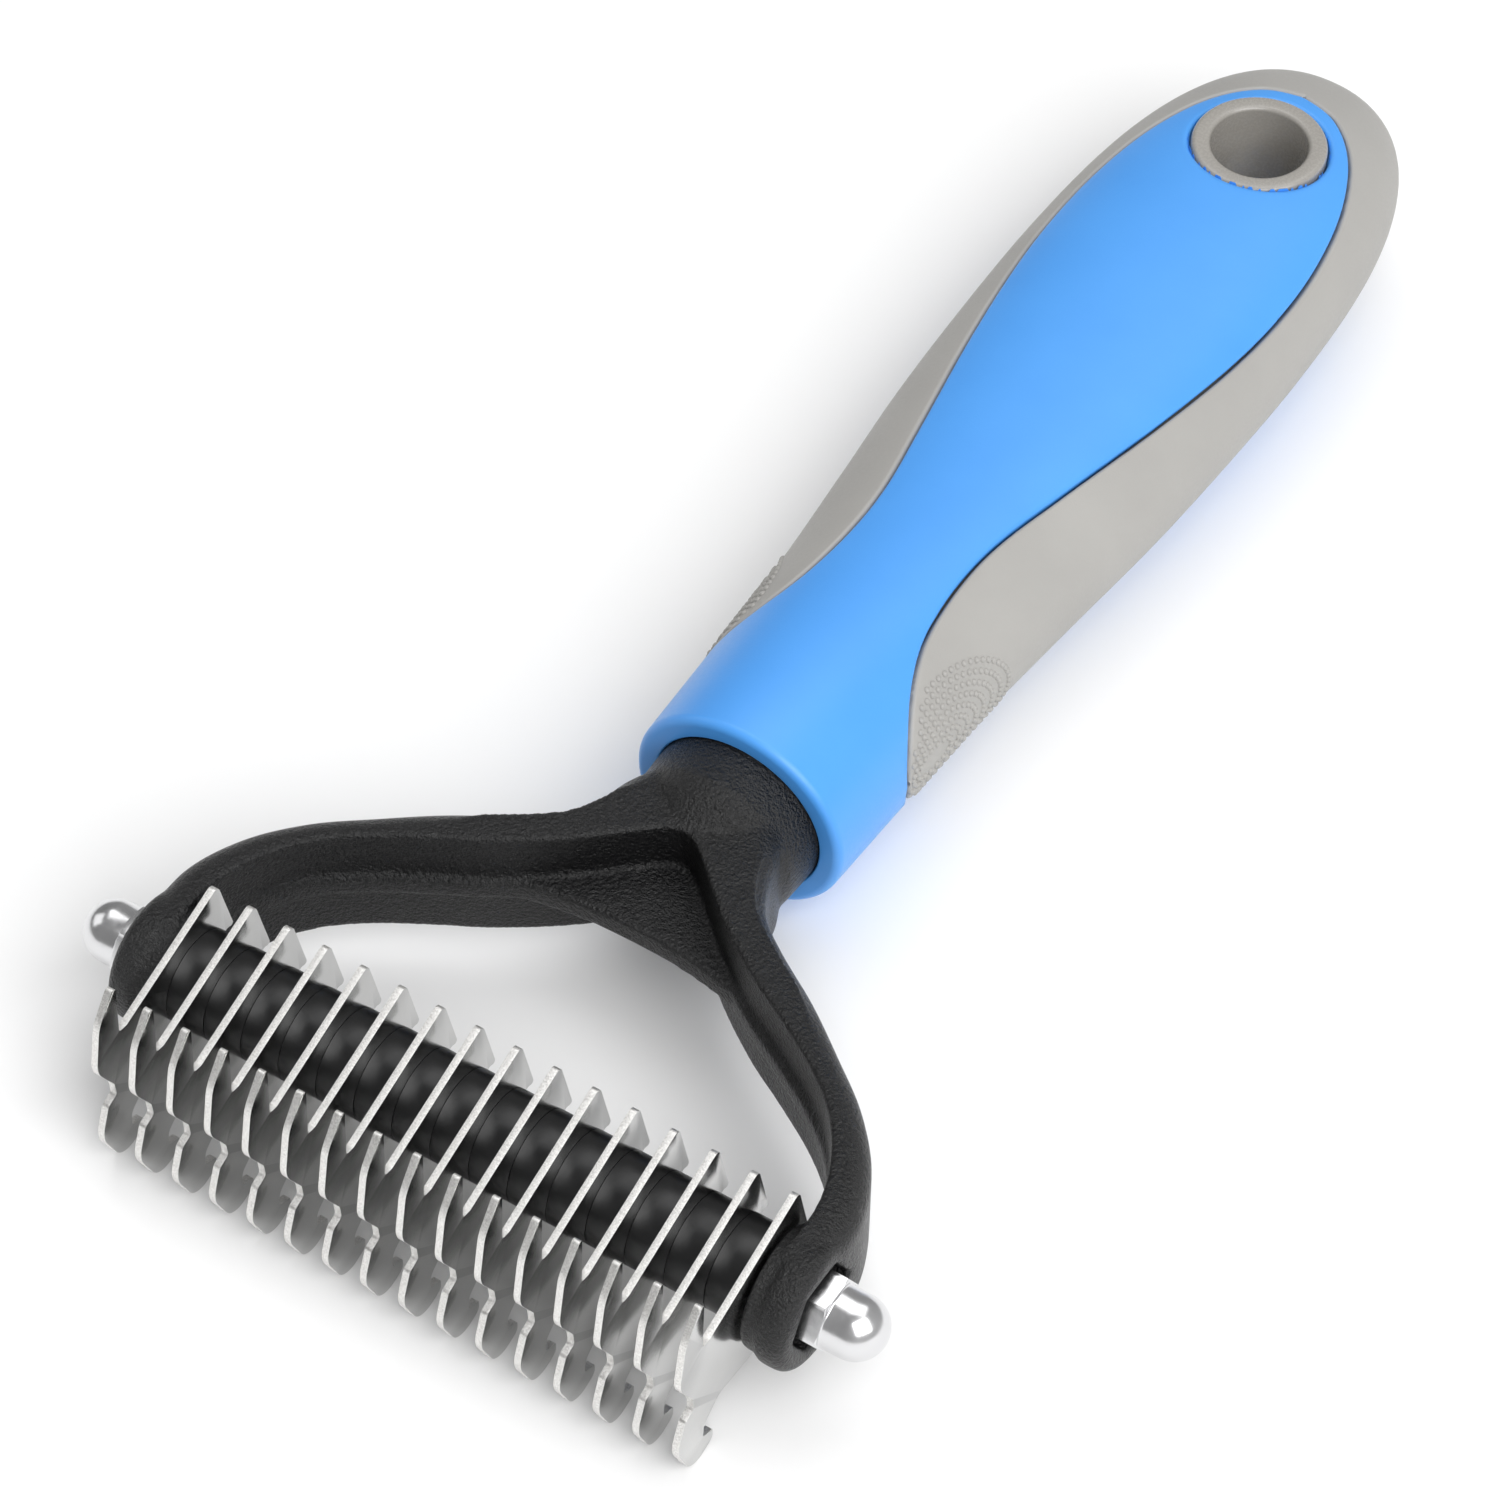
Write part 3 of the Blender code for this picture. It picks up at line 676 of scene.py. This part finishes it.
def edge_angle(y, grow):
    """Section angle of the parting line, moved outward in plan by grow."""
    width, depth, power = shape_at(y)
    half = panel_half(y) + grow
    if half >= width:
        return 0.0
    if half <= 0.0:
        return 0.5 * math.pi
    return math.acos((half / width) ** (0.5 * power))


def edge_points(grow):
    """The parting line on one front quarter, as a fine run of 3-D points."""
    run = []
    for x, y in PANEL_RUN:
        width, depth, power = shape_at(y)
        half = x + grow
        if 0.0 < half < width:
            run.append(surface(y, math.acos((half / width) ** (0.5 * power))))
    last = PANEL_RUN[-1, 1] + grow
    run.append(surface(last, 0.5 * math.pi))
    dense = []
    for a, b in zip(run, run[1:]):
        count = max(int((b - a).length / 0.06), 1)
        dense += [a.lerp(b, k / count) for k in range(count)]
    dense.append(run[-1])
    return dense


def edge_tree(grow):
    """Search tree of the whole parting line, for distances to it."""
    quarter = edge_points(grow)
    tree = kdtree.KDTree(4 * len(quarter))
    index = 0
    for sx in (-1, 1):
        for sz in (-1, 1):
            for p in quarter:
                tree.insert(Vector((sx * p.x, p.y, sz * p.z)), index)
                index += 1
    tree.balance()
    return tree


def round_down(point, tree, radius):
    """Lowers a surface point near the parting line so that the moulding's edge is rounded."""
    gap = tree.find(point)[2]
    if gap >= radius:
        return point
    drop = radius - math.sqrt(max(radius * radius - (radius - gap) ** 2, 0.0))
    return point - surface_normal(point) * drop


# Distances of the close rows from a rounded edge, in millimetres.
NEAR = [0.0, 0.05, 0.12, 0.21, 0.32, 0.46, 0.70, 1.05]


def arc_lengths(y, sample):
    """Running length of the section along its sampled angles."""
    spots = [surface(y, a) for a in sample]
    steps = [(q - p).length for p, q in zip(spots, spots[1:])]
    return np.concatenate([[0.0], np.cumsum(steps)])


def arc_angles(y, first, last, count):
    """Angles across one patch of the section: close rows beside each edge, even between."""
    sample = np.linspace(first, last, 160)
    run = arc_lengths(y, sample)
    total = run[-1]
    if total < 1e-6:
        return [first] * (count + 2 * len(NEAR))
    shrink = min(1.0, 0.25 * total / NEAR[-1])
    near = [d * shrink for d in NEAR]
    inner = np.linspace(near[-1], total - near[-1], count + 2)[1:-1]
    marks = near + list(inner) + [total - d for d in reversed(near)]
    return list(np.interp(marks, run, sample))


def add_grid(bm, rows):
    """Faces between rows of points."""
    lines = [[bm.verts.new(p) for p in row] for row in rows]
    for lower, upper in zip(lines, lines[1:]):
        for k in range(len(lower) - 1):
            bm.faces.new((lower[k], lower[k + 1], upper[k + 1], upper[k]))


def panel_rows():
    """Stations of the blue faces: from the collar's lip to where the round end takes over."""
    fine = list(np.linspace(LIP_Y, 60.0, 8)[:-1]) + list(np.linspace(60.0, 72.0, 40)[:-1])
    return fine + list(np.linspace(72.0, JOINT_Y, 90))


def shell_front(bm, side, tree):
    """Front (side 1) or back (side -1) face of the blue moulding; returns its last row."""
    rows = []
    for y in panel_rows():
        first = edge_angle(y, -GROOVE)
        row = []
        for a in arc_angles(y, first, math.pi - first, 44):
            p = surface(y, a)
            p.z *= side
            row.append(round_down(p, tree, EDGE_ROUND))
        rows.append(row)
    add_grid(bm, rows)
    return rows[-1]


def shell_end(bm, side, tree, joint_row):
    """The round end of the tongue with the hanging hole, from a plan triangulation."""
    points = []
    edges = []
    hole = Vector((0.0, HOLE_Y))

    def chain(run):
        base = len(points)
        points.extend(run)
        edges.extend((base + k, base + (k + 1) % len(run)) for k in range(len(run)))

    outline = [Vector((p.x, p.y)) for p in reversed(joint_row)]
    right = [Vector((x - GROOVE, y)) for x, y in PANEL_RUN if y > JOINT_Y + 0.05]
    right = [p for p in right if p.x > 0.15]
    left = [Vector((-p.x, p.y)) for p in reversed(right)]
    border = right + [Vector((0.0, PANEL_RUN[-1, 1] - GROOVE))] + left
    chain(outline + border)
    for grow in (0.0, 0.05, 0.12, 0.22, 0.36, 0.55, 0.8, 1.2):
        turns = [2 * math.pi * k / 160 for k in range(160)]
        radius = PANEL_HOLE + grow
        chain([Vector((radius * math.cos(t), HOLE_Y + radius * math.sin(t))) for t in turns])
    for inset in (0.05, 0.12, 0.21, 0.32, 0.46, 0.75, 1.2):
        for a, b, c in zip(border, border[1:], border[2:]):
            along = (c - a).normalized()
            inward = Vector((along.y, -along.x))
            if inward.dot(PANEL_MIDDLE - b) < 0.0:
                inward = -inward
            spot = b + inward * inset
            if spot.y > JOINT_Y + 0.3 and (spot - hole).length > PANEL_HOLE + 1.3:
                points.append(spot)
    for gx in np.arange(-16.0, 16.01, PANEL_GRID):
        for gy in np.arange(JOINT_Y + PANEL_GRID, 183.0, PANEL_GRID):
            # A hair off the middle line, so that no point of the grid falls on the border.
            spot = Vector((gx + 0.0137, gy))
            if (spot - hole).length < PANEL_HOLE + 1.5 or abs(gx) > panel_half(gy) - 1.4:
                continue
            points.append(spot)
    verts, _, faces, _, _, _ = geometry.delaunay_2d_cdt(points, edges, [], 0, 1e-5)
    made = []
    for v in verts:
        width, depth, power = shape_at(v.y)
        z = depth * max(1.0 - min(abs(v.x) / width, 1.0) ** power, 0.0) ** (1.0 / power)
        p = round_down(Vector((v.x, v.y, side * z)), tree, EDGE_ROUND)
        away = (Vector((v.x, v.y)) - hole).length - PANEL_HOLE
        if 0.0 <= away < PANEL_HOLE_ROUND:
            fall = PANEL_HOLE_ROUND ** 2 - (PANEL_HOLE_ROUND - away) ** 2
            p.z -= side * (PANEL_HOLE_ROUND - math.sqrt(max(fall, 0.0)))
        made.append(bm.verts.new(p))
    for tri in faces:
        mid = sum((verts[k] for k in tri), Vector((0.0, 0.0))) / 3.0
        if (mid - hole).length < PANEL_HOLE - 0.001:
            continue
        if mid.y < JOINT_Y or abs(mid.x) > max(panel_half(mid.y) - GROOVE, 0.0) + 0.02:
            continue
        try:
            bm.faces.new([made[k] for k in tri])
        except ValueError:
            continue


def drop_skirts(bm, keep):
    """Turns every open edge down into the groove or the hole as a short wall."""
    rim = [edge for edge in bm.edges if len(edge.link_faces) == 1 and keep(edge)]
    grown = bmesh.ops.extrude_edge_only(bm, edges=rim)
    fresh = [item for item in grown["geom"] if isinstance(item, bmesh.types.BMVert)]
    for vert in fresh:
        normal = surface_normal(vert.co)
        if vert.co.y < END_Y - 0.5:
            normal.y = 0.0
        vert.co = vert.co - normal.normalized() * SKIRT


def add_mouth(bm):
    """The collar's mouth: bore, rounded rim, front face and the round up to the skin."""
    profile = [(MOUTH_Y, MOUTH_R), (START_Y + MOUTH_ROUND, MOUTH_R)]
    profile += arc((START_Y + MOUTH_ROUND, MOUTH_R + MOUTH_ROUND), MOUTH_ROUND, 270, 180, 4)
    profile += [(START_Y, COLLAR_R - LIP_ROUND)]
    for turn in (math.radians(a) for a in range(0, 91, 10)):
        profile.append((START_Y + LIP_ROUND * (1.0 - math.cos(turn)),
                        COLLAR_R - LIP_ROUND * (1.0 - math.sin(turn))))
    lip = shape_at(LIP_Y)
    count = 128
    turns = [2 * math.pi * k / count for k in range(count)]
    rings = []
    for station, radius in profile:
        lean = max(min((radius - MOUTH_R) / (COLLAR_R - MOUTH_R), 1.0), 0.0)
        wide = radius * (1.0 + (lip[0] / COLLAR_R - 1.0) * lean)
        tall = radius * (1.0 + (lip[1] / COLLAR_R - 1.0) * lean)
        rings.append([bm.verts.new((wide * math.cos(t), station, tall * math.sin(t)))
                      for t in turns])
    for lower, upper in zip(rings, rings[1:]):
        for k in range(count):
            n = (k + 1) % count
            bm.faces.new((lower[k], lower[n], upper[n], upper[k]))


def make_shell(look):
    bm = bmesh.new()
    tree = edge_tree(-GROOVE)
    for side in (1, -1):
        shell_end(bm, side, tree, shell_front(bm, side, tree))
    bmesh.ops.remove_doubles(bm, verts=bm.verts, dist=0.012)
    bmesh.ops.dissolve_degenerate(bm, edges=bm.edges, dist=0.001)
    drop_skirts(bm, lambda edge: min(v.co.y for v in edge.verts) > LIP_Y + 0.2)
    add_mouth(bm)
    publish(settle(bm), "look_handle_shell", [look], ["handle_shell"], BODY, 50.0)


DOT_ARCHES = 8
DOT_PITCH = 0.95
DOT_RINGS = ((0.42, -0.05), (0.37, 0.14), (0.22, 0.26))
DOT_TALL = 0.30
ARCH_CENTRE_Y = 73.5
ARCH_SHIFT = 0.35
ARCH_WIDE = 8.4
ARCH_TALL = 12.4
ARCH_TALL_STEP = 1.3
ARCH_FOOT_Y = 62.0
ARCH_MARGIN = 0.13


def girth_angle(y, reach):
    """Section angle at an arc length from the side line of the handle."""
    sample = np.linspace(0.0, 0.5 * math.pi, 60)
    angle = float(np.interp(abs(reach), arc_lengths(y, sample), sample))
    return math.copysign(angle, reach)


def add_dot(bm, spot, outward):
    """Low dome that stands on the grip surface."""
    across = outward.orthogonal().normalized()
    along = outward.cross(across)
    rings = []
    spokes = [across * math.cos(math.pi * k / 4.0) + along * math.sin(math.pi * k / 4.0)
              for k in range(8)]
    for radius, height in DOT_RINGS:
        rings.append([bm.verts.new(spot + outward * height + spoke * radius)
                      for spoke in spokes])
    top = bm.verts.new(spot + outward * DOT_TALL)
    for k in range(8):
        n = (k + 1) % 8
        for lower, upper in zip(rings, rings[1:]):
            bm.faces.new((lower[k], lower[n], upper[n], upper[k]))
        bm.faces.new((rings[-1][k], rings[-1][n], top))


def add_dots(bm, side):
    """Nested arches of grip dots beside the collar."""
    for arch in range(DOT_ARCHES):
        wide = ARCH_WIDE - DOT_PITCH * arch
        tall = ARCH_TALL - ARCH_TALL_STEP * arch
        count = int(math.pi * (wide + tall) / DOT_PITCH)
        for k in range(count):
            turn = 2.0 * math.pi * (k + 0.5 * (arch % 2)) / count
            y = ARCH_CENTRE_Y - ARCH_SHIFT * arch + tall * math.sin(turn)
            angle = girth_angle(y, wide * math.cos(turn))
            if y < ARCH_FOOT_Y or abs(angle) > edge_angle(y, 0.0) - ARCH_MARGIN:
                continue
            spot = surface(y, angle)
            outward = surface_normal(spot)
            spot.x *= side
            outward.x *= side
            add_dot(bm, spot, outward)


def grip_rows(last):
    """Stations of the grip: close where it starts, at the tongue's end and at the tip."""
    first = 60.0
    while edge_angle(first, GROOVE) <= 0.0:
        first += 0.01
    rows = [first + 0.6 * k * k / 400.0 for k in range(20)]
    rows += list(np.linspace(first + 0.62, 74.0, 40)) + list(np.linspace(74.6, 163.0, 100))
    rows += [163.5 + (last - 163.5) * math.sin(0.5 * math.pi * k / 70.0) for k in range(70)]
    rows += [last + d for d in NEAR]
    start = last + 1.3
    return rows + [start + (END_Y - start) * math.sin(0.5 * math.pi * k / 26.0)
                   for k in range(26)]


def make_grip(look):
    bm = bmesh.new()
    tree = edge_tree(GROOVE)
    last = PANEL_RUN[-1, 1] + GROOVE
    rows_y = grip_rows(last)
    for side in (1, -1):
        rows = []
        for y in rows_y:
            edge = edge_angle(y, GROOVE) if y < last else 0.5 * math.pi
            row = []
            for a in arc_angles(y, -edge, edge, 40):
                p = surface(y, a)
                p.x *= side
                row.append(round_down(p, tree, EDGE_ROUND))
            rows.append(row)
        add_grid(bm, rows)
        add_dots(bm, side)
    tip = bm.verts.new((0.0, END_Y, 0.0))
    bmesh.ops.remove_doubles(bm, verts=bm.verts, dist=0.008)
    ring = [edge for edge in bm.edges
            if len(edge.link_faces) == 1 and min(v.co.y for v in edge.verts) > END_Y - 1.0]
    for edge in ring:
        bm.faces.new((edge.verts[0], edge.verts[1], tip))
    bmesh.ops.dissolve_degenerate(bm, edges=bm.edges, dist=0.001)
    drop_skirts(bm, lambda edge: max(v.co.y for v in edge.verts) < END_Y - 5.0)
    publish(settle(bm), "look_grip_band", [look], ["grip_band"], BODY, 50.0)


RING_HALF = 9.0
RING_BORE = (6.65, 0.55)
RING_RIM = (7.8, 0.7)


def make_ring(look):
    profile = []
    corners = ((1, RING_BORE, 270), (1, RING_RIM, 0), (-1, RING_RIM, 90), (-1, RING_BORE, 180))
    for end, (radius, rounding), start in corners:
        centre = (end * (RING_HALF - rounding), radius)
        profile += arc(centre, rounding, start, start + 90, 6)
    bm = lathe(profile, 144, "Z", 1.0, (0.0, HOLE_Y, 0.0), closed=True)
    publish(bm, "look_hang_ring", [look], ["hang_ring"], BODY)


# ---------------------------------------------------------------- studio

FLOOR_HALF = 4.0
FLOOR_DROP = 0.0002
# Name, place, size and power of each light; all of them aim at the origin.
LIGHTS = (("key", (0.9, -0.5, 1.1), (1.4, 1.2), 22.0),
          ("top", (-0.2, 0.5, 1.5), (1.6, 1.2), 10.0),
          ("left", (-1.2, -0.3, 0.7), (0.8, 0.8), 2.0))
SKY_LEFT = 0.22
SKY_RIGHT = 0.46


def area(name, place, size, power):
    light = bpy.data.lights.new(name, "AREA")
    light.shape = "RECTANGLE"
    light.size = size[0]
    light.size_y = size[1]
    light.energy = power
    made = bpy.data.objects.new(name, light)
    bpy.context.scene.collection.objects.link(made)
    made.location = place
    made.rotation_euler = (-Vector(place)).to_track_quat("-Z", "Y").to_euler()
    return made


def studio():
    bm = bmesh.new()
    bmesh.ops.create_grid(bm, x_segments=1, y_segments=1, size=FLOOR_HALF)
    mesh = bpy.data.meshes.new("floor")
    bm.to_mesh(mesh)
    bm.free()
    mesh.materials.append(plain("look_floor", (0.90, 0.90, 0.90), 0.85))
    floor = bpy.data.objects.new("floor", mesh)
    bpy.context.scene.collection.objects.link(floor)
    floor.location = (0.0, 0.0, -FLOOR_DROP)
    lights = [area(*light) for light in LIGHTS]
    world = bpy.data.worlds.new("studio")
    bpy.context.scene.world = world
    world.use_nodes = True
    tree = world.node_tree
    sky = tree.nodes["Background"]
    split = node(tree, "ShaderNodeSeparateXYZ")
    where = tree.nodes.new("ShaderNodeTexCoord")
    tree.links.new(where.outputs["Generated"], split.inputs["Vector"])
    strength = spread(tree, split.outputs["X"], SKY_LEFT, SKY_RIGHT, -0.8, 0.8)
    tree.links.new(strength, sky.inputs["Strength"])
    sky.inputs["Color"].default_value = (1.0, 1.0, 1.0, 1.0)


# The camera's right and backward axes, and its place in metres from the middle of the rod.
CAMERA_RIGHT = (0.84236, 0.53881, 0.01080)
CAMERA_BACK = (0.34155, -0.54926, 0.76267)
CAMERA_FROM_ROD = (0.20919, -0.28181, 0.47539)
FOCAL_LENGTH = 131.28
SENSOR_WIDTH = 36.0


def camera():
    lens = bpy.data.cameras.new("camera")
    lens.sensor_width = SENSOR_WIDTH
    lens.lens = FOCAL_LENGTH
    lens.clip_start = 0.01
    made = bpy.data.objects.new("camera", lens)
    bpy.context.scene.collection.objects.link(made)
    right = Vector(CAMERA_RIGHT).normalized()
    behind = Vector(CAMERA_BACK).normalized()
    up = behind.cross(right).normalized()
    turn = Matrix((right, up, behind)).transposed().to_4x4()
    place = Vector(CAMERA_FROM_ROD) + Vector((0.0, AXLE_Y * MM, AXLE_Z * MM))
    made.matrix_world = Matrix.Translation(place) @ turn
    bpy.context.scene.camera = made


def main():
    make_blades(blade_face(), blade_edge())
    make_spacers(gloss_black())
    metal = chrome()
    make_nut("nut_left", -1.0, "left_nut", metal)
    make_nut("nut_right", 1.0, "right_nut", metal)
    make_yoke(black_nylon())
    make_shell(soft_plastic("look_shell_blue", (0.066, 0.315, 0.800), (0.074, 0.335, 0.830),
                            rough_low=0.36, rough_high=0.46, grain=0.20, coat=0.15))
    make_grip(soft_plastic("look_grip_grey", (0.345, 0.337, 0.322), (0.375, 0.367, 0.350),
                           rough_low=0.46, rough_high=0.60, grain=0.25, coat=0.05))
    make_ring(soft_plastic("look_ring_grey", (0.300, 0.285, 0.262), (0.320, 0.305, 0.280),
                           rough_low=0.22, rough_high=0.32, grain=0.08, coat=0.5))
    studio()
    camera()
    bpy.context.scene.view_settings.view_transform = "Standard"


main()
